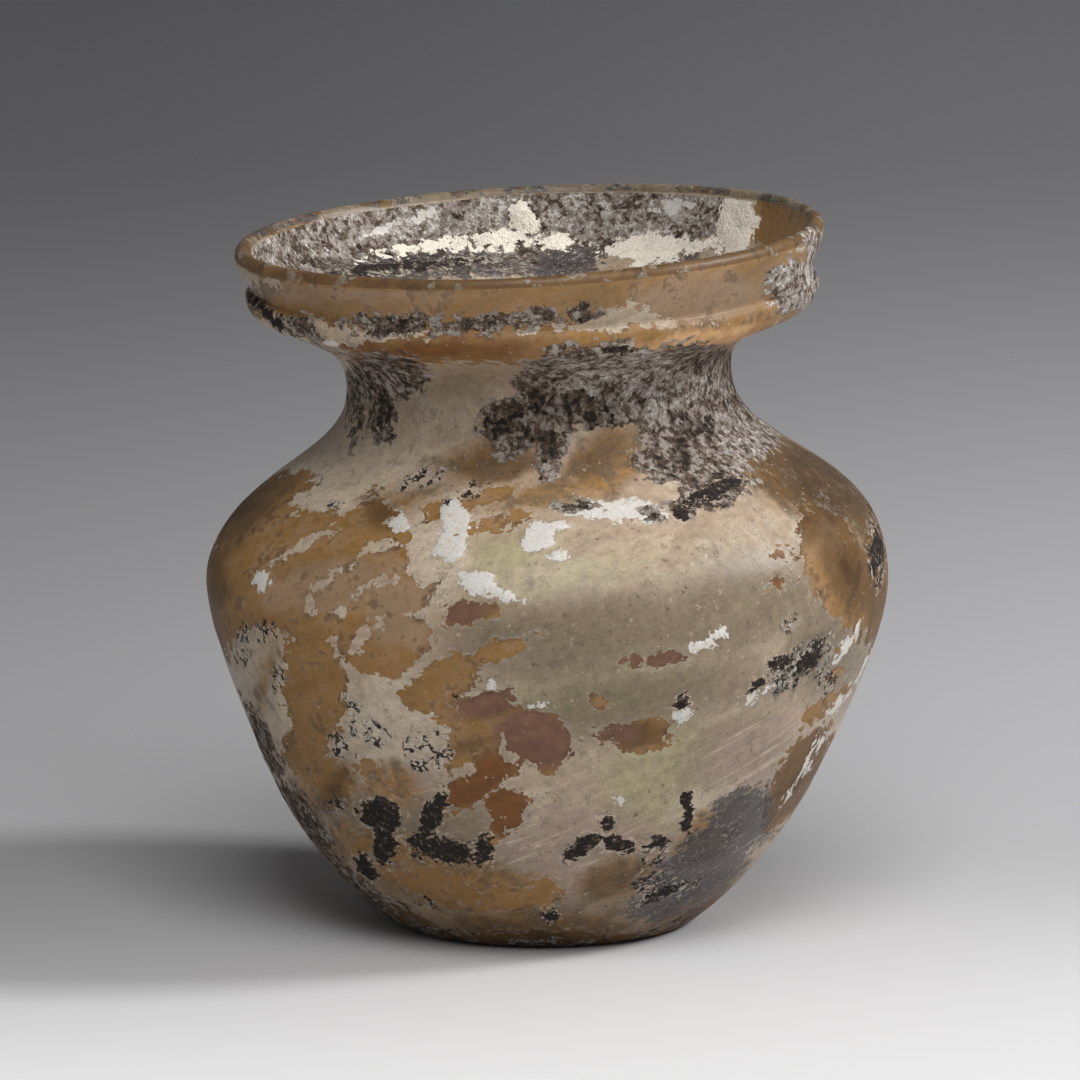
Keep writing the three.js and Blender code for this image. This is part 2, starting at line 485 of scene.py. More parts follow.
GREEN_FILM_AND_SHEEN = {
    # The sheen patch is a painted sheen: green film colour laid along the lit satin band on the shoulder.
    "sheen": Patch(560, 580, 84, 15, 13),
    "middle": Patch(600, 690, 100, 34, 8),
    "low": Patch(664, 775, 62, 56, 30),
    "left": Patch(500, 560, 50, 30, 10),
}
PINK_FILM = {
    "right": Patch(752, 756, 62, 34, 26),
    "low middle": Patch(580, 850, 90, 44, 0),
    "low left": Patch(400, 760, 60, 40, 0),
}
THIN_FILM_AND_RIGHT_SHADE = {
    "middle": Patch(600, 634, 150, 46, 8),
    "middle right": Patch(740, 606, 110, 50, 14),
    "below the middle": Patch(630, 700, 160, 34, 10),
    "left of the middle": Patch(500, 640, 60, 36, 10),
    "low": Patch(560, 880, 140, 60, 0),
    "low left": Patch(430, 840, 110, 60, -20),
    "low right": Patch(740, 770, 60, 50, 40),
    "neck": Patch(456, 384, 46, 14, 10),
    # The right patch is painted shade, darkening the film down the jar's right side to temper the key
    # light there.
    "right": Patch(830, 640, 50, 60, 0),
}
# Painted highlight: bright golden patches on the bead, standing in for light that shines through the thick
# glass.
PAINTED_BEAD_HIGHLIGHT = {
    "bead right": Patch(694, 341, 72, 9, 8),
    "bead middle": Patch(620, 352, 36, 6, 4),
}


def length_property(name, description, millimetres):
    return FloatProperty(name=name, description=description, default=millimetres * MM, unit="LENGTH")


class JarShape(bpy.types.PropertyGroup):
    """Sizes of the jar's mesh and of what lies on the glass."""

    segments: IntProperty(
        name="Segments", description="Columns of faces around the jar", default=320, min=32, max=340
    )
    ripple: length_property("Ripple", "Height of the soft waves in the blown wall", 0.10)
    film: length_property("Film", "Thickness of the weathering film", 0.05)
    flake: length_property("Flake", "Thickness of a white flake", 0.12)
    crust: length_property("Crust", "Thickness of the dark and speckled crust", 0.20)
    lime: length_property("Lime", "Thickness of the lime in the mouth", 0.8)
    lump: length_property("Lump", "Height of the crust lump on the collar", 1.3)


def colour_property(name, description, default):
    return FloatVectorProperty(
        name=name, description=description, default=default, subtype="COLOR", size=3, min=0.0, max=1.0
    )


class JarColours(bpy.types.PropertyGroup):
    """Colours of the glass, the films and the crusts."""

    amber: colour_property("Amber", "Bare glass where it is thin and clear", (0.32, 0.174, 0.060))
    # Painted highlight colour for the bead, standing in for light that shines through the thick glass.
    bead_highlight: colour_property("Glowing glass", "Thick glass where the light gathers", (0.66, 0.39, 0.19))
    tan: colour_property("Tan", "Bare glass under a haze", (0.36, 0.242, 0.152))
    brown: colour_property("Brown", "Bare glass where it is dark", (0.066, 0.034, 0.015))
    plum: colour_property("Plum", "Bare glass with a purple tinge", (0.18, 0.094, 0.062))
    red: colour_property("Red", "Bare glass with a red tinge", (0.17, 0.070, 0.022))
    film: colour_property("Film", "Weathering film", (0.43, 0.324, 0.230))
    film_thin: colour_property("Thin film", "Film that the brown glass darkens", (0.168, 0.127, 0.080))
    film_pale: colour_property("Pale film", "Film where it is thick", (0.58, 0.485, 0.37))
    # Yellow-green film colour, also laid on the shoulder's lit band as a painted sheen.
    film_green: colour_property("Green film", "Film with a yellow-green sheen", (0.40, 0.355, 0.20))
    film_pink: colour_property("Pink film", "Film with a pinkish tinge", (0.42, 0.315, 0.25))
    white: colour_property("White", "Thick flakes", (0.66, 0.63, 0.59))
    grey: colour_property("Grey", "Pale grains of the crust", (0.32, 0.275, 0.24))
    crust: colour_property("Crust", "Ground of the crust", (0.114, 0.081, 0.058))
    slate: colour_property("Slate", "Slate veil", (0.062, 0.054, 0.054))
    soot: colour_property("Soot", "Black crust", (0.022, 0.018, 0.017))
    lime: colour_property("Lime", "Lime in the mouth", (0.95, 0.87, 0.74))


class StageSettings(bpy.types.PropertyGroup):
    """Lights and floor of the plain stage."""

    key_power: FloatProperty(
        name="Key", description="Power of the soft light at the right", default=11.0, unit="POWER"
    )
    front_power: FloatProperty(
        name="Front", description="Power of the soft light above the camera", default=9.8, unit="POWER"
    )
    ambient: FloatProperty(
        name="Ambient", description="Strength of the even light all round", default=0.12
    )
    floor_near: colour_property("Near floor", "Paper in front of the jar", (0.84, 0.84, 0.84))
    # The middle and far colours are painted light falloff away from the lamps.
    floor_mid_falloff: colour_property("Middle floor", "Paper beside the jar", (0.46, 0.46, 0.47))
    floor_far_falloff: colour_property("Far floor", "Paper behind the jar", (0.182, 0.182, 0.19))


class Wire:
    """A socket that adds a Math node when it is used in a sum, difference, product or quotient."""

    def __init__(self, graph, socket):
        self.graph = graph
        self.socket = socket

    def __add__(self, other):
        return self.graph.math("ADD", self, other)

    def __radd__(self, other):
        return self.graph.math("ADD", other, self)

    def __sub__(self, other):
        return self.graph.math("SUBTRACT", self, other)

    def __rsub__(self, other):
        return self.graph.math("SUBTRACT", other, self)

    def __mul__(self, other):
        return self.graph.math("MULTIPLY", self, other)

    def __rmul__(self, other):
        return self.graph.math("MULTIPLY", other, self)

    def __truediv__(self, other):
        return self.graph.math("DIVIDE", self, other)

    def __rtruediv__(self, other):
        return self.graph.math("DIVIDE", other, self)


class Graph:
    """Adds nodes to one tree."""

    def __init__(self, tree):
        self.tree = tree

    def node(self, kind, settings=None, sockets=None, outs=0):
        """One node: its settings, then its sockets by name or place. Returns wires of the outs asked."""
        made = self.tree.nodes.new(kind)
        for name, value in (settings or {}).items():
            setattr(made, name, value)
        for place, value in (sockets or {}).items():
            if isinstance(value, Wire):
                self.tree.links.new(value.socket, made.inputs[place])
            else:
                made.inputs[place].default_value = value
        if outs is None:
            return None
        if isinstance(outs, tuple):
            return tuple(Wire(self, made.outputs[out]) for out in outs)
        return Wire(self, made.outputs[outs])

    def math(self, operation, *values):
        return self.node("ShaderNodeMath", {"operation": operation}, dict(enumerate(values)))


class Finish(Graph):
    """A material's tree, with the patterns and mixes that the jar's surface needs."""

    def __init__(self, name):
        self.material = bpy.data.materials.new(name)
        self.material.use_nodes = True
        self.material.node_tree.nodes.clear()
        super().__init__(self.material.node_tree)
        self.place = self.node("ShaderNodeTexCoord", outs="Object")

    def depth(self, name):
        """A layer's depth in millimetres, kept on the mesh: above zero inside the layer."""
        return self.node("ShaderNodeAttribute", {"attribute_name": name}, outs="Fac")

    def grain(self, size_mm, detail=2.0, roughness=0.5, place=None, shift=0.0):
        """Noise from about -0.5 to 0.5 with features of that size, moved aside by the shift in metres."""
        where = place or self.place
        if shift:
            aside = (shift, -shift, shift)
            where = self.node("ShaderNodeVectorMath", {"operation": "ADD"}, {0: where, 1: aside})
        fac = self.node(
            "ShaderNodeTexNoise",
            sockets={
                "Vector": where,
                "Scale": 1.0 / (size_mm * MM),
                "Detail": detail,
                "Roughness": roughness,
            },
        )
        return fac * 2.0 - 1.0

    def chips(self, size_mm):
        """One number from -1 to 1 for each angular chip of about that size."""
        bent = self.node(
            "ShaderNodeTexNoise",
            sockets={"Vector": self.place, "Scale": 0.8 / (size_mm * MM), "Detail": 2.0},
            outs="Color",
        )
        reach = 0.9 * size_mm * MM
        bent = self.node("ShaderNodeVectorMath", {"operation": "SCALE"}, {0: bent, "Scale": reach})
        where = self.node("ShaderNodeVectorMath", {"operation": "ADD"}, {0: self.place, 1: bent})
        chip = self.node(
            "ShaderNodeTexVoronoi",
            sockets={"Vector": where, "Scale": 1.0 / (size_mm * MM)},
            outs="Color",
        )
        return self.node("ShaderNodeSeparateColor", sockets={"Color": chip}, outs="Red") * 2.0 - 1.0

    def rise(self, value, low, high):
        """A smooth step from 0 at low to 1 at high."""
        return self.node(
            "ShaderNodeMapRange",
            {"interpolation_type": "SMOOTHSTEP"},
            {"Value": value, "From Min": low, "From Max": high},
        )

    def mix(self, factor, first, second):
        """A colour between two."""
        first, second = (c if isinstance(c, Wire) else (*c, 1.0) for c in (first, second))
        return self.node(
            "ShaderNodeMix",
            {"data_type": "RGBA"},
            {0: factor, 6: first, 7: second},
            outs=2,
        )

    def shade(self, colour, factor):
        """A colour made lighter or darker by a number."""
        return self.node(
            "ShaderNodeVectorMath", {"operation": "SCALE"}, {0: colour, "Scale": factor}
        )


def smooth(value, low, high):
    """Rises from 0 at low to 1 at high without a kink."""
    t = np.clip((value - low) / (high - low), 0.0, 1.0)
    return t * t * (3.0 - 2.0 * t)


def bend(start, start_handle, end_handle, end, step):
    """Points at even steps along a cubic curve, without its last one, and their directions."""
    handles = np.array([start, start_handle, end_handle, end], float)
    t = np.linspace(0.0, 1.0, 400)[:, None]
    u = 1.0 - t
    fine = u**3 * handles[0] + 3 * u * u * t * handles[1] + 3 * u * t * t * handles[2] + t**3 * handles[3]
    length = np.concatenate([[0.0], np.cumsum(np.hypot(*np.diff(fine, axis=0).T))])
    count = max(2, round(length[-1] / step))
    at = np.linspace(0.0, length[-1], count + 1)
    points = np.column_stack([np.interp(at, length, fine[:, axis]) for axis in (0, 1)])
    way = np.gradient(points, axis=0)
    way /= np.hypot(*way.T)[:, None]
    return points, way


def inside_of(curve):
    """A curve of the outside moved in by the glass thickness, from its top to its bottom."""
    points, way = curve
    inner = points + WALL * np.column_stack([-way[:, 1], way[:, 0]])
    return inner[::-1][:-1]


def jar_section():
    """Rings of the section, from the middle of the underside to that of the inside, and their zones."""
    lower = (FOOT, WALL_SPREAD, WALL_STEEPEN, WALL_MID)
    upper = (WALL_MID, WALL_CLIMB, WALL_UPRIGHT, BELLY)
    shoulder = (BELLY, SHOULDER_UPRIGHT, NECK_UPRIGHT, NECK)
    stretches = [
        (UNDERSIDE, bend(KICK_TOP, KICK_FLAT, KICK_EDGE, REST_INNER, UNDER_STEP)[0][:-1]),
        (UNDERSIDE, bend(REST_INNER, REST_INNER, REST_OUTER, REST_OUTER, UNDER_STEP)[0][:-1]),
        (OUTSIDE, bend(REST_OUTER, FOOT_FLAT, FOOT_TURN, FOOT, OUTSIDE_STEP)[0][:-1]),
        (OUTSIDE, bend(*lower, OUTSIDE_STEP)[0][:-1]),
        (OUTSIDE, bend(*upper, OUTSIDE_STEP)[0][:-1]),
        (OUTSIDE, bend(*shoulder, OUTSIDE_STEP)[0][:-1]),
        (OUTSIDE, bend(NECK, FLARE_UPRIGHT, FLARE_SPREAD, COLLAR_ROOT, OUTSIDE_STEP)[0][:-1]),
        (OUTSIDE, bend(COLLAR_ROOT, BEAD_UNDER, BEAD_OVER, GROOVE, COLLAR_STEP)[0][:-1]),
        (OUTSIDE, bend(GROOVE, COLLAR_LOW, COLLAR_HIGH, LIP_OUTER, COLLAR_STEP)[0][:-1]),
        (LIP, bend(LIP_OUTER, LIP_OUTER_CROWN, LIP_INNER_CROWN, LIP_INNER, COLLAR_STEP)[0][:-1]),
        (MOUTH, bend(LIP_INNER, CUP_WALL_HIGH, CUP_WALL_LOW, CUP_CORNER, MOUTH_STEP)[0][:-1]),
        (MOUTH, bend(CUP_CORNER, CUP_FLOOR, THROAT_EDGE, THROAT, MOUTH_STEP)[0]),
        (INSIDE, inside_of(bend(*shoulder, INSIDE_STEP))),
        (INSIDE, inside_of(bend(*upper, INSIDE_STEP))),
        (INSIDE, inside_of(bend(*lower, INSIDE_STEP))),
        (INSIDE, np.array([INSIDE_FLOOR_EDGE, INSIDE_FLOOR_TOP])),
    ]
    rings = np.concatenate([points for _, points in stretches])
    zones = np.concatenate([np.full(len(points), zone) for zone, points in stretches])
    return rings, zones


def hand_made(points):
    """The lean, sag and shift of the solid, on points in millimetres that are round about the axis."""
    x, y, z = points.T
    base_shift = BASE_SHIFT_X * (1.0 - smooth(z, 0.0, BELLY[1]))
    in_collar = smooth(z, NECK[1], COLLAR_ROOT[1]) * (1.0 - smooth(z, GROOVE[1], LIP_OUTER[1]))
    across = x / LIP_OUTER[0]
    sag = in_collar * (BEAD_SAG * across - BEAD_LIFT * across * across)
    lean = SHOULDER_LEAN * smooth(z, LEAN_START_Z, LEAN_FULL_Z)
    lean = lean + (RIM_LEAN - SHOULDER_LEAN) * smooth(z, NECK[1], GROOVE[1])
    out = x + BEAD_SHIFT_X * in_collar
    climb = z - sag - BELLY[1]
    return np.column_stack([
        base_shift + out * np.cos(lean) - climb * np.sin(lean),
        y,
        BELLY[1] + out * np.sin(lean) + climb * np.cos(lean),
    ])


def revolve_tree():
    """Geometry nodes that turn a line of section points into a closed jar."""
    tree = bpy.data.node_groups.new("Revolve a section", "GeometryNodeTree")
    sockets = tree.interface
    sockets.new_socket("Section", in_out="INPUT", socket_type="NodeSocketGeometry")
    sockets.new_socket("Segments", in_out="INPUT", socket_type="NodeSocketInt")
    sockets.new_socket("Join Distance", in_out="INPUT", socket_type="NodeSocketFloat")
    sockets.new_socket("Glass", in_out="INPUT", socket_type="NodeSocketMaterial")
    sockets.new_socket("Jar", in_out="OUTPUT", socket_type="NodeSocketGeometry")
    graph = Graph(tree)
    section, segments, join, glass = graph.node("NodeGroupInput", outs=(0, 1, 2, 3))

    rings = graph.node(
        "GeometryNodeAttributeDomainSize", {"component": "MESH"}, {"Geometry": section}, "Point Count"
    )
    sheet, sheet_uv = graph.node(
        "GeometryNodeMeshGrid",
        sockets={"Vertices X": segments + 1.0, "Vertices Y": rings},
        outs=("Mesh", "UV Map"),
    )
    index = graph.node("GeometryNodeInputIndex")
    column = graph.math("FLOOR", index / rings)
    ring = index - column * rings
    place = graph.node("GeometryNodeInputPosition")
    at_ring = graph.node(
        "GeometryNodeSampleIndex",
        {"data_type": "FLOAT_VECTOR", "domain": "POINT"},
        {"Geometry": section, "Value": place, "Index": ring},
    )
    radius, height = graph.node("ShaderNodeSeparateXYZ", sockets={0: at_ring}, outs=("X", "Z"))
    even_turn = column / segments * math.tau
    turn = even_turn - FRONT_CROWDING * graph.math("COSINE", even_turn)
    right = radius * graph.math("COSINE", turn)
    away = radius * graph.math("SINE", turn)
    round_place = graph.node("ShaderNodeCombineXYZ", sockets={"X": right, "Y": away, "Z": height})
    sheet = graph.node(
        "GeometryNodeStoreNamedAttribute",
        {"data_type": "FLOAT2", "domain": "CORNER"},
        {"Geometry": sheet, "Name": "OFBake", "Value": sheet_uv},
    )
    sheet = graph.node(
        "GeometryNodeStoreNamedAttribute",
        {"data_type": "FLOAT", "domain": "POINT"},
        {"Geometry": sheet, "Name": "ring", "Value": ring},
    )
    jar = graph.node("GeometryNodeSetPosition", sockets={"Geometry": sheet, "Position": round_place})
    jar = graph.node("GeometryNodeMergeByDistance", sockets={"Geometry": jar, "Distance": join})
    jar = graph.node("GeometryNodeSetShadeSmooth", sockets={"Geometry": jar})
    jar = graph.node("GeometryNodeRealizeInstances", sockets={"Geometry": jar})
    jar = graph.node("GeometryNodeSetMaterial", sockets={"Geometry": jar, "Material": glass})
    graph.node("NodeGroupOutput", sockets={"Jar": jar}, outs=None)
    return tree


def revolve(rings, segments, material):
    """The plain mesh that the revolve tree makes of the section's rings."""
    line = bpy.data.meshes.new("jar section")
    edges = [(i, i + 1) for i in range(len(rings) - 1)]
    line.from_pydata([(radius * MM, 0.0, height * MM) for radius, height in rings], edges, [])
    holder = bpy.data.objects.new("jar section", line)
    bpy.context.scene.collection.objects.link(holder)
    tree = revolve_tree()
    turner = holder.modifiers.new("Revolve", "NODES")
    turner.node_group = tree
    chosen = {"Segments": segments, "Join Distance": 0.001 * MM, "Glass": material}
    for socket in tree.interface.items_tree:
        if socket.name in chosen:
            turner[socket.identifier] = chosen[socket.name]
    bpy.context.view_layer.update()
    evaluated = holder.evaluated_get(bpy.context.evaluated_depsgraph_get())
    mesh = bpy.data.meshes.new_from_object(evaluated)
    bpy.data.objects.remove(holder)
    return mesh


def read_points(mesh):
    """The mesh's vertices in millimetres."""
    flat = np.empty(len(mesh.vertices) * 3)
    mesh.vertices.foreach_get("co", flat)
    return flat.reshape(-1, 3) / MM


def write_points(mesh, points):
    mesh.vertices.foreach_set("co", (points * MM).astype(np.float32).ravel())
    mesh.update()


def read_normals(mesh):
    flat = np.empty(len(mesh.vertices) * 3)
    mesh.vertex_normals.foreach_get("vector", flat)
    return flat.reshape(-1, 3)


def waves(points, size, seed):
    """Smooth noise from about -1 to 1 at each point, with features of that size in millimetres."""
    shift = Vector((seed * 17.3, seed * 5.1, seed * 11.7))
    return np.array([noise.noise(Vector(p) / size + shift) for p in points.tolist()])


def photo_view(points, normals):
    """Where each point falls in the photograph, in pixels, and how squarely it faces the camera."""
    away = points - np.array(CAMERA_PLACE)
    cos, sin = math.cos(CAMERA_PITCH), math.sin(CAMERA_PITCH)
    depth = away[:, 1] * cos - away[:, 2] * sin
    up = away[:, 1] * sin + away[:, 2] * cos
    across = PICTURE / 2 + FOCAL_PIXELS * away[:, 0] / depth
    down = PICTURE / 2 - FOCAL_PIXELS * up / depth
    facing = -(normals * away).sum(1) / np.linalg.norm(away, axis=1)
    return across, down, facing


def patch_depth(patches, across, down):
    """How deep each point lies inside the nearest patch, in millimetres, below zero outside them all."""
    deepest = np.full(len(across), -OUTSIDE_DEPTH)
    for patch in patches.values():
        cos, sin = math.cos(math.radians(patch.rise)), math.sin(math.radians(patch.rise))
        right, up = across - patch.x, patch.y - down
        along = (right * cos + up * sin) / patch.half_wide
        over = (up * cos - right * sin) / patch.half_high
        narrow = min(patch.half_wide, patch.half_high) / PIXELS_PER_MM
        deepest = np.maximum(deepest, (1.0 - np.hypot(along, over)) * narrow)
    return deepest


def over_the_lip(points):
    """How far above the front of the lip the camera's line to each point passes, in millimetres."""
    x, y, z = points.T
    lip_y = -np.sqrt(np.maximum(LIP_OUTER[0] ** 2 - x * x, 0.0))
    lip_z = LIP_OUTER_CROWN[1] + x * math.tan(RIM_LEAN)
    share = (y - lip_y) / (y - CAMERA_PLACE[1])
    return z + share * (CAMERA_PLACE[2] - z) - lip_z


def jar_layers(points, normals, zone):
    """Depth in millimetres of each film, crust and tint at each vertex."""
    across, down, facing = photo_view(points, normals)
    wander_x = 0.35 * waves(points, 4.0, 1) + 0.25 * waves(points, 1.6, 2)
    wander_y = 0.35 * waves(points, 4.0, 3) + 0.25 * waves(points, 1.6, 4)
    across = across + wander_x * PIXELS_PER_MM
    down = down + wander_y * PIXELS_PER_MM
    in_mouth = zone == MOUTH
    broad = waves(points, 9.0, 5)
    middle = waves(points, 4.5, 6)
    small = waves(points, 2.0, 7)
    seen = smooth(facing + 0.14 * middle, *SEEN_FACING)
    seen_over_lip = seen * smooth(over_the_lip(points), *SEEN_OVER_LIP)
    height = points[:, 2]

    def layer(front, back, mouth, mouth_back):
        """Listed patches where the photograph shows the jar, a like pattern where it doesn't."""
        outer = seen * patch_depth(front, across, down) + (1.0 - seen) * back
        inner = seen_over_lip * patch_depth(mouth, across, down) + (1.0 - seen_over_lip) * mouth_back
        return np.where(in_mouth, inner, outer)

    near_neck = 1.6 - np.abs(height - NECK[1]) / 4.0
    near_foot = 1.0 - height / 9.0
    in_collar = np.where(height > COLLAR_ROOT[1] - 0.5, 1.0, 0.0)
    none = np.full(len(points), -OUTSIDE_DEPTH)
    bare_back = -0.15 + 1.7 * broad + 1.0 * middle + 0.5 * small + in_collar
    white_back = -1.5 + 1.6 * waves(points, 3.2, 8) + 0.6 * small
    scarred_back = -1.1 + 2.2 * waves(points, 4.0, 16) + 0.6 * small + 0.4 * np.maximum(near_foot, 0.0)
    dark_back = -1.65 + 2.3 * waves(points, 6.0, 9) + 0.9 * small
    veil_back = -1.2 + 2.4 * waves(points, 12.0, 17) + np.maximum(near_foot, 0.0)
    speckled_back = near_neck + 1.4 * middle + 0.6 * small - 0.5
    lime_mouth = -0.4 + 1.6 * broad + 0.8 * small
    layers = {
        "bare": layer(BARE_GLASS, bare_back, MOUTH_BARE, middle - 0.8),
        "bead_highlight": layer(PAINTED_BEAD_HIGHLIGHT, none, {}, none),
        "hazy": layer(HAZE_AND_COLLAR_LIGHT, 1.5 * waves(points, 6.0, 25), {}, none),
        "scraps": layer(FILM_SCRAPS, 2.4 * waves(points, 2.6, 18) - 1.2, {}, none),
        "stain": layer(STAINS, 1.7 * waves(points, 10.0, 19), {}, none),
        "white": layer(WHITE_FLAKES, white_back, MOUTH_WHITE, 0.2 + 1.4 * middle),
        "scarred": layer(SCARRED, scarred_back, {}, none),
        "dark": layer(DARK_CRUST, dark_back, MOUTH_DARK, dark_back),
        "veil": layer(SLATE_VEIL, veil_back, MOUTH_SLATE, -0.7 + 1.6 * waves(points, 5.0, 10)),
        "speckled": layer(SPECKLED_CRUST, speckled_back, MOUTH_SPECKLED, 0.4 + middle),
        "silver": layer(SILVER, 1.5 * broad, MOUTH_SILVER, middle + 1.0),
        "lime": layer({}, none, MOUTH_LIME, lime_mouth),
        "brown": layer(BROWN_GLASS_AND_SHADE, 1.6 * waves(points, 11.0, 11), BROWN_GLASS_AND_SHADE, middle),
        "plum": layer(PLUM_GLASS, -0.7 + 1.6 * waves(points, 8.0, 12), {}, none),
        "red": layer(RED_GLASS, -0.8 + 1.6 * waves(points, 7.0, 15), {}, none),
        "pale": layer(PALE_FILM, 1.5 * waves(points, 9.0, 23), {}, none),
        "green": layer(GREEN_FILM_AND_SHEEN, 1.5 * waves(points, 12.0, 13), {}, none),
        "pink": layer(PINK_FILM, 1.5 * waves(points, 10.0, 14), {}, none),
        "thin": layer(THIN_FILM_AND_RIGHT_SHADE, 1.5 * waves(points, 11.0, 24), {}, none),
    }
    layers["bare"] = np.minimum(layers["bare"], -layers.pop("scraps"))
    above_crust = np.minimum(layers["speckled"], 1.15 - layers["white"])
    layers["speckled"] = np.where(in_mouth, above_crust, layers["speckled"])
    behind = smooth(points[:, 1], -4.0, 8.0)
    bare_lip = 0.6 + 1.2 * small + 0.8 * middle - 0.9 * behind
    layers["bare"] = np.where(zone == LIP, bare_lip, layers["bare"])
    layers["veil"] = np.where(zone == LIP, -1.5 + 1.5 * middle + 1.3 * behind, layers["veil"])
    layers["thin"] = np.where(zone == LIP, OUTSIDE_DEPTH, layers["thin"])
    layers["brown"] = np.where(zone == LIP, 0.9 + 1.6 * middle, layers["brown"])
    layers["hazy"] = np.where(zone == LIP, -OUTSIDE_DEPTH, layers["hazy"])
    unseen_inside = (zone == INSIDE) | (zone == UNDERSIDE)
    layers["bare"] = np.where(unseen_inside, -0.4 + 1.5 * middle, layers["bare"])
    return layers


def lump_height(points, normals):
    """The crust lump that stands out on the right of the collar, from 0 to 1."""
    across, down, facing = photo_view(points, normals)
    depth = patch_depth(COLLAR_LUMP, across, down)
    return smooth(depth, -0.6, 1.6) * smooth(facing, -0.25, 0.1)


def lay_on(mesh, zone, layers, shape):
    """Raises the films and crusts from the glass and keeps everything inside the solid's box."""
    points = read_points(mesh)
    normals = read_normals(mesh)
    grains = waves(points, 1.3, 21)
    lumps = waves(points, 2.6, 22)
    thick = shape.ripple / MM * waves(points, 13.0, 20)
    thick += shape.film / MM * smooth(-layers["bare"], -0.2, 0.2)
    thick += shape.flake / MM * smooth(layers["white"], -0.2, 0.3)
    crust = np.maximum(smooth(layers["dark"], -0.2, 0.4), 0.5 * smooth(layers["speckled"], -0.3, 0.5))
    thick += shape.crust / MM * crust * (0.75 + 0.5 * grains)
    lime = smooth(layers["lime"], -0.3, 0.6)
    thick += shape.lime / MM * lime * (0.55 + 0.5 * lumps + 0.35 * grains)
    outer = zone == OUTSIDE
    thick += np.where(outer, shape.lump / MM * lump_height(points, normals) * (0.75 + 0.5 * lumps), 0.0)
    resting = (zone == UNDERSIDE) | (zone == INSIDE)
    thick = np.where(resting, 0.0, thick) * smooth(points[:, 2], 0.0, 2.5)
    low, high = (np.array(corner) / MM for corner in CAD_BOX)
    write_points(mesh, np.clip(points + normals * thick[:, None], low, high))


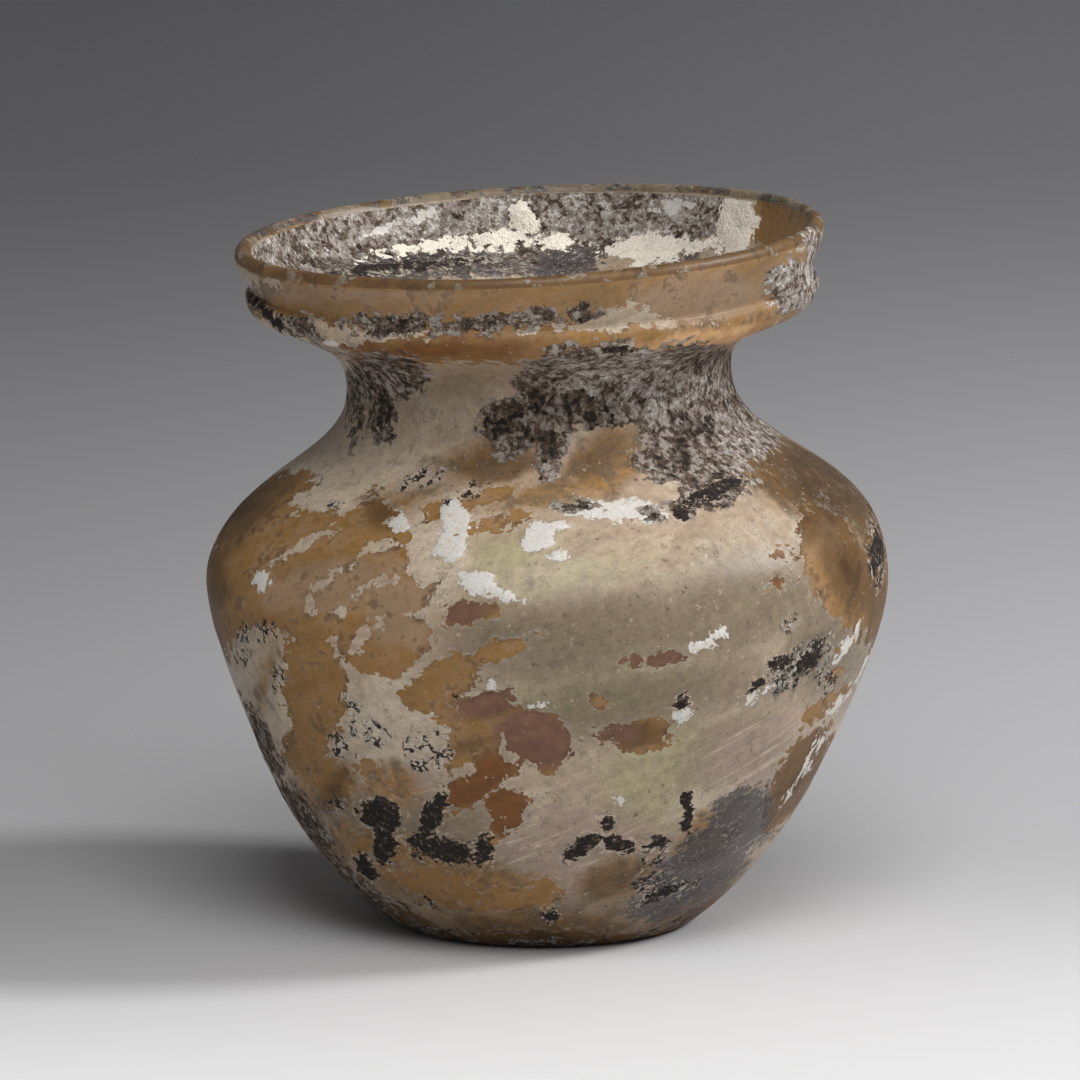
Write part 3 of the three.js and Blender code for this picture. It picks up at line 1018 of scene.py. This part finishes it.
def glass_finish(colours):
    """Amber glass under torn film, white flakes, scars, crusts, and lime in the mouth."""
    f = Finish("weathered glass")
    fine = f.grain(0.26, 2.0, 0.6)
    grit = f.grain(0.60, 2.5, 0.7)
    mottle = f.grain(1.1, 3.5, 0.74, shift=0.9)
    crumb = f.grain(0.9, 3.0, 0.7, shift=0.55)
    blotch = f.grain(2.6, 4.0, 0.6, shift=0.4)
    cloud = f.grain(8.0, 3.0, 0.55)

    # Torn edges: chips of two sizes along an uneven line.
    chips = f.chips(1.25)
    crumbs = f.chips(0.50)
    torn = 0.8 * f.grain(3.0, 5.0, 0.68) + 0.36 * chips + 0.18 * crumbs
    ragged = 0.6 * f.grain(1.5, 4.0, 0.70, shift=0.21) + 0.2 * chips + 0.18 * crumbs

    # Streaks that climb to the right round the body, left by the turning of the soft glass.
    height = f.node("ShaderNodeSeparateXYZ", sockets={0: f.place}, outs="Z")
    unwound = f.node(
        "ShaderNodeVectorRotate",
        {"rotation_type": "Z_AXIS"},
        {"Vector": f.place, "Angle": height / (-STREAK_CLIMB * MM)},
    )
    squeeze = (1.0, 1.0, 0.3)
    drawn_out = f.node("ShaderNodeVectorMath", {"operation": "MULTIPLY"}, {0: unwound, 1: squeeze})
    streak = f.grain(4.2, 4.0, 0.62, drawn_out)
    thread = f.grain(1.4, 3.0, 0.65, drawn_out, shift=0.13)

    # Bare glass, darker along its torn edges.
    islands = 2.0 * f.rise(crumb, -0.34, -0.46) - 3.0 * f.rise(crumb, 0.34, 0.46)
    bare_depth = f.depth("bare") - torn + islands
    glass = f.mix(0.45 * f.rise(cloud + blotch + 0.6 * streak, -0.1, 0.5), colours.amber, colours.tan)
    # Tan haze, which on the collar is painted light shining through the glass from behind.
    glass = f.mix(0.8 * f.rise(f.depth("hazy") + 1.4 * blotch, -1.0, 1.0), glass, colours.tan)
    glass = f.mix(0.34 * f.rise(mottle + 0.6 * blotch - cloud, -0.15, 0.45), glass, colours.film_thin)
    # Brown glass, partly real dark glass and partly painted shade along the silhouettes and under the
    # foot.
    brown = f.depth("brown") + 1.8 * blotch + 1.2 * mottle
    glass = f.mix(0.55 * f.rise(blotch + mottle + 0.5 * streak, 0.05, 0.5), glass, colours.brown)
    glass = f.mix(0.65 * f.rise(brown, -1.0, 1.3) + 0.3 * f.rise(brown, 1.5, 3.0), glass, colours.brown)
    # Brown blotches that darken the top of the collar and the lip.
    top_blotches = f.rise(height / MM, *COLLAR_TOP_BLOTCH_START) * f.rise(blotch + mottle, -0.05, 0.35)
    glass = f.mix(0.3 * top_blotches, glass, colours.brown)
    # Painted highlight: the bead glows golden where light would shine through the thick glass.
    glass = f.mix(f.rise(f.depth("bead_highlight") + 0.8 * blotch, -0.5, 0.8), glass, colours.bead_highlight)
    glass = f.mix(f.rise(f.depth("plum") + 1.2 * blotch, -1.0, 0.9), glass, colours.plum)
    glass = f.mix(f.rise(f.depth("red") + 1.2 * blotch, -0.8, 0.9), glass, colours.red)
    dark_edge = 0.5 * (1.0 - f.rise(bare_depth, 0.0, 0.6)) * f.rise(blotch, -0.1, 0.25)
    glass = f.mix(dark_edge, glass, colours.brown)
    glass = f.shade(glass, 1.0 + 0.35 * streak + 0.4 * blotch + 0.4 * mottle + 0.14 * fine)

    # Film: pale, green, pink and thin places, with soft stains of the glass below.
    film = f.mix(0.6 * f.rise(cloud + blotch + 0.5 * streak, -0.2, 0.5), colours.film, colours.film_pale)
    # Green film, which on the shoulder's lit band is a painted sheen.
    film = f.mix(0.8 * f.rise(f.depth("green") + 2.0 * streak, -2.0, 2.4), film, colours.film_green)
    # Thin film, which down the jar's right side is painted shade.
    film = f.mix(0.8 * f.rise(f.depth("thin") + 1.6 * streak, -3.0, 3.0), film, colours.film_thin)
    pink = f.rise(f.depth("pink") + 2.4 * streak, -2.0, 2.4)
    film = f.mix(0.6 * pink, film, colours.film_pink)
    film = f.mix(0.7 * f.rise(f.depth("pale") + 2.0 * blotch, -1.4, 2.0), film, colours.film_pale)
    film = f.mix(0.55 * pink * f.rise(thread, 0.12, 0.34), film, colours.film_pale)
    stain = f.rise(f.depth("stain") + 1.8 * blotch + 1.2 * streak, -0.9, 1.2)
    film = f.mix(0.92 * stain, film, glass)
    film = f.mix(0.6 * f.rise(blotch + 0.6 * fine, 0.12, 0.40), film, colours.film_thin)
    speck = f.grain(0.95, 3.0, 0.7, shift=0.77)
    film = f.mix(0.6 * f.rise(speck, 0.24, 0.42), film, colours.brown)
    film = f.mix(0.5 * f.rise(speck, -0.26, -0.42), film, colours.film_pale)
    film = f.shade(film, 1.0 + 0.20 * streak + 0.16 * thread + 0.2 * blotch + 0.45 * mottle + 0.26 * fine)

    film_mask = f.rise(bare_depth, 0.03, -0.03)
    pale_edge = f.rise(bare_depth + 0.8 * grit, -0.30, -0.02)
    film = f.mix(0.16 * pale_edge, film, colours.white)
    colour = f.mix(film_mask, glass, film)

    # White flakes.
    white_mask = f.rise(f.depth("white") + 1.3 * ragged, -0.03, 0.06)
    white = f.mix(f.rise(grit + 0.6 * fine + 0.5 * blotch, 0.10, 0.45), colours.white, colours.film_pale)
    colour = f.mix(white_mask, colour, f.shade(white, 1.0 + 0.4 * fine))

    # Speckled crust: dark ground with brown and pale grains, silvery in places.
    speckled_mask = f.rise(f.depth("speckled") + ragged + 0.3 * chips + 0.3 * grit, -0.06, 0.10)
    silver = f.rise(f.depth("silver") + blotch, -1.4, 1.4)
    level = 0.34 * fine + 0.38 * grit + 0.30 * crumbs + 0.20 * chips + 0.42 * blotch + 0.6 * mottle
    level = level + 0.07 + 0.22 * silver + 0.12 * f.rise(f.depth("silver"), 4.0, 7.0)
    specks = f.mix(f.rise(level, -0.35, 0.10), colours.soot, colours.crust)
    specks = f.mix(f.rise(level, 0.05, 0.45), specks, colours.grey)
    white_grains = (0.3 + 0.5 * silver) * f.rise(level + 0.5 * fine, 0.52, 0.85)
    specks = f.mix(white_grains, specks, colours.white)
    glints = f.rise(mottle + 0.6 * fine + 0.5 * grit, 0.30, 0.50)
    specks = f.mix(0.6 * silver * glints, specks, colours.white)
    colour = f.mix(speckled_mask, colour, specks)

    # Slate veil with hairs drawn along the streaks.
    veil_depth = f.depth("veil") + 1.8 * ragged + 1.6 * thread + 0.9 * grit + 0.8 * mottle
    veil_mask = f.rise(veil_depth, -0.3, 0.5)
    hair = f.grain(1.1, 3.0, 0.6, drawn_out, shift=0.5) + 0.3 * grit
    veil = f.mix(f.rise(grit + fine + 0.5 * blotch, 0.10, 0.65), colours.slate, colours.grey)
    veil = f.mix(0.5 * f.rise(hair, 0.02, 0.30), veil, colours.soot)
    veil = f.mix(0.4 * f.rise(hair, -0.30, -0.45), veil, colours.white)
    colour = f.mix(0.92 * veil_mask, colour, f.shade(veil, 1.0 + 0.5 * thread + 0.4 * fine))

    # Scars: thin black lines with pale fringes.
    scar_mask = f.rise(f.depth("scarred") + 0.8 * ragged, -0.05, 0.20)
    line = f.math("ABSOLUTE", f.grain(2.3, 2.5, 0.6, shift=0.31) + 0.18 * grit)
    scar = f.mix(0.15 * f.rise(blotch + grit, -0.2, 0.3), colour, colours.white)
    scar = f.mix(0.4 * f.rise(line, 0.16, 0.10) * f.rise(grit, 0.0, 0.1), scar, colours.white)
    stroke = f.rise(line + 0.15 * mottle, 0.12, 0.08) * f.rise(crumb + mottle, -0.12, 0.02)
    scar = f.mix(stroke, scar, colours.soot)
    colour = f.mix(scar_mask, colour, scar)

    # Black crust.
    dark_depth = f.depth("dark") + ragged + 0.5 * thread
    dark_mask = f.rise(dark_depth, -0.04, 0.04)
    grains = grit + 0.5 * fine + 0.7 * mottle + 0.2 * crumbs
    dark = f.mix(f.rise(grains, 0.0, 0.60), colours.soot, colours.crust)
    dark = f.mix(0.7 * f.rise(grains, 0.40, 0.62), dark, colours.grey)
    pale_rim = f.rise(dark_depth + 0.5 * grit, -0.30, -0.16) * f.rise(blotch + grit, 0.0, 0.15)
    colour = f.mix(0.6 * pale_rim, colour, colours.film_pale)
    colour = f.mix(dark_mask, colour, dark)

    # Lime.
    lime_mask = f.rise(f.depth("lime") + 1.4 * ragged, -0.05, 0.1)
    lime = f.mix(0.6 * f.rise(grit + 0.7 * fine, 0.28, 0.55), colours.lime, colours.film)
    colour = f.mix(lime_mask, colour, f.shade(lime, 1.0 + 0.2 * blotch))

    # Gloss: satin glass and film, dry crust.
    crusted = f.math("MAXIMUM", f.math("MAXIMUM", speckled_mask, dark_mask), 0.6 * scar_mask)
    dry = f.math("MAXIMUM", crusted, lime_mask)
    satin = 0.46 - 0.08 * film_mask + 0.16 * white_mask + 0.16 * blotch + 0.1 * fine
    roughness = satin + dry * (0.85 - satin)
    collar_gloss = 0.40 * f.rise(height / MM, *COLLAR_GLOSS_START)
    coat = (1.0 - dry) * (1.0 - 0.8 * stain) * (collar_gloss + film_mask * (0.34 - collar_gloss))

    # Relief in millimetres.
    relief = 0.030 * film_mask + 0.06 * white_mask + 0.04 * streak + 0.018 * thread + 0.018 * fine
    relief = relief + crusted * (0.08 + 0.09 * grit + 0.05 * fine)
    relief = relief + lime_mask * (0.15 + 0.12 * grit + 0.04 * fine + 0.2 * blotch)
    normal = f.node("ShaderNodeBump", sockets={"Strength": 0.9, "Distance": MM, "Height": relief})

    shader = f.node(
        "ShaderNodeBsdfPrincipled",
        sockets={
            "Base Color": colour,
            "Roughness": roughness,
            "Coat Weight": coat,
            "Coat Roughness": 0.42,
            "Specular IOR Level": 0.16,
            "IOR": 1.5,
            "Normal": normal,
        },
    )
    f.node("ShaderNodeOutputMaterial", sockets={"Surface": shader}, outs=None)
    return f.material


class UNGUENT_OT_jar(bpy.types.Operator):
    """Builds the jar's glass with its films and crusts in place of the solid"""

    bl_idname = "unguent.jar"
    bl_label = "Weathered jar"

    def execute(self, context):
        shape = context.scene.unguent_shape
        rings, zones = jar_section()
        mesh = revolve(rings, shape.segments, glass_finish(context.scene.unguent_colours))
        ring = np.empty(len(mesh.vertices), np.float32)
        mesh.attributes["ring"].data.foreach_get("value", ring)
        mesh.attributes.remove(mesh.attributes["ring"])
        zone = zones[np.rint(ring).astype(int)]
        write_points(mesh, hand_made(read_points(mesh)))
        layers = jar_layers(read_points(mesh), read_normals(mesh), zone)
        for name, depth in layers.items():
            kept = mesh.attributes.new(name, "FLOAT", "POINT")
            kept.data.foreach_set("value", depth.astype(np.float32))
        lay_on(mesh, zone, layers, shape)
        jar = bpy.data.objects.new("glass_jar", mesh)
        mesh.name = "glass_jar"
        context.scene.collection.objects.link(jar)
        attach(jar, JAR_BODY)
        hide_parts(JAR_NODE)
        return {"FINISHED"}


def soft_light(name, place, aim, size, power):
    """A square soft box that points at aim."""
    lamp = bpy.data.lights.new(name, "AREA")
    lamp.shape = "SQUARE"
    lamp.size = size
    lamp.energy = power
    light = bpy.data.objects.new(name, lamp)
    light.location = place
    light.rotation_euler = (Vector(aim) - Vector(place)).to_track_quat("-Z", "Y").to_euler()
    bpy.context.scene.collection.objects.link(light)
    return light


def shaded_paper_finish(near, mid, far):
    """Pale paper with painted light falloff, brightest in front and darker behind, and painted shade that
    makes it a little darker on the left.
    """
    f = Finish("paper")
    across = f.node("ShaderNodeSeparateXYZ", sockets={0: f.place}, outs="X")
    back = f.node("ShaderNodeSeparateXYZ", sockets={0: f.place}, outs="Y")
    # Painted light falloff: the paper darkens from the front to the back.
    colour = f.mix(f.rise(back, -0.09, 0.04), near, mid)
    colour = f.mix(f.rise(back, 0.02, 0.58), colour, far)
    # Painted shade: darker on the left and lighter on the right near the jar, for the key light's side
    # shadow.
    left_shade = f.rise(across, -0.10, 0.10) - 0.5
    colour = f.shade(colour, 1.0 + 0.40 * left_shade * f.rise(back, -0.09, 0.0))
    shader = f.node("ShaderNodeBsdfPrincipled", sockets={"Base Color": colour, "Roughness": 0.9})
    f.node("ShaderNodeOutputMaterial", sockets={"Surface": shader}, outs=None)
    return f.material


class UNGUENT_OT_stage(bpy.types.Operator):
    """Lays the floor and sets the lights and the camera"""

    bl_idname = "unguent.stage"
    bl_label = "Stage"

    def execute(self, context):
        scene = context.scene
        settings = scene.unguent_stage
        floor_mesh = bpy.data.meshes.new("floor")
        signs = ((-1, -1), (1, -1), (1, 1), (-1, 1))
        corners = [(x * FLOOR_HALF, y * FLOOR_HALF, 0.0) for x, y in signs]
        floor_mesh.from_pydata(corners, [], [(0, 1, 2, 3)])
        paper = shaded_paper_finish(settings.floor_near, settings.floor_mid_falloff, settings.floor_far_falloff)
        floor_mesh.materials.append(paper)
        floor = bpy.data.objects.new("floor", floor_mesh)
        scene.collection.objects.link(floor)

        soft_light("key soft box", KEY_PLACE, LIGHT_AIM, KEY_SIZE, settings.key_power)
        soft_light("front soft box", FRONT_PLACE, LIGHT_AIM, FRONT_SIZE, settings.front_power)

        world = bpy.data.worlds.new("even light")
        world.use_nodes = True
        sky = world.node_tree.nodes["Background"]
        sky.inputs["Color"].default_value = (1.0, 1.0, 1.0, 1.0)
        sky.inputs["Strength"].default_value = settings.ambient
        scene.world = world

        lens = bpy.data.cameras.new("camera")
        lens.sensor_width = SENSOR_MM
        lens.lens = FOCAL_PIXELS / PICTURE * SENSOR_MM
        lens.clip_start = 0.05
        camera = bpy.data.objects.new("camera", lens)
        camera.location = [c * MM for c in CAMERA_PLACE]
        camera.rotation_euler = (math.pi / 2 - CAMERA_PITCH, 0.0, 0.0)
        scene.collection.objects.link(camera)
        scene.camera = camera
        scene.view_settings.view_transform = "Standard"
        return {"FINISHED"}


class UNGUENT_PT_panel(bpy.types.Panel):
    """Lists the jar's sizes, colours and builders"""

    bl_idname = "UNGUENT_PT_panel"
    bl_label = "Unguent jar"
    bl_space_type = "VIEW_3D"
    bl_region_type = "UI"
    bl_category = "Unguent jar"

    def draw(self, context):
        scene = context.scene
        for group in (scene.unguent_shape, scene.unguent_colours, scene.unguent_stage):
            box = self.layout.box()
            for name in group.__annotations__:
                box.prop(group, name)
        self.layout.operator(UNGUENT_OT_stage.bl_idname)
        self.layout.operator(UNGUENT_OT_jar.bl_idname)


CLASSES = (JarShape, JarColours, StageSettings, UNGUENT_OT_stage, UNGUENT_OT_jar, UNGUENT_PT_panel)


def register():
    for cls in CLASSES:
        bpy.utils.register_class(cls)
    bpy.types.Scene.unguent_shape = PointerProperty(type=JarShape)
    bpy.types.Scene.unguent_colours = PointerProperty(type=JarColours)
    bpy.types.Scene.unguent_stage = PointerProperty(type=StageSettings)


def unregister():
    del bpy.types.Scene.unguent_stage
    del bpy.types.Scene.unguent_colours
    del bpy.types.Scene.unguent_shape
    for cls in reversed(CLASSES):
        bpy.utils.unregister_class(cls)


def main():
    register()
    bpy.ops.unguent.stage()
    bpy.ops.unguent.jar()


if __name__ == "__main__":
    main()
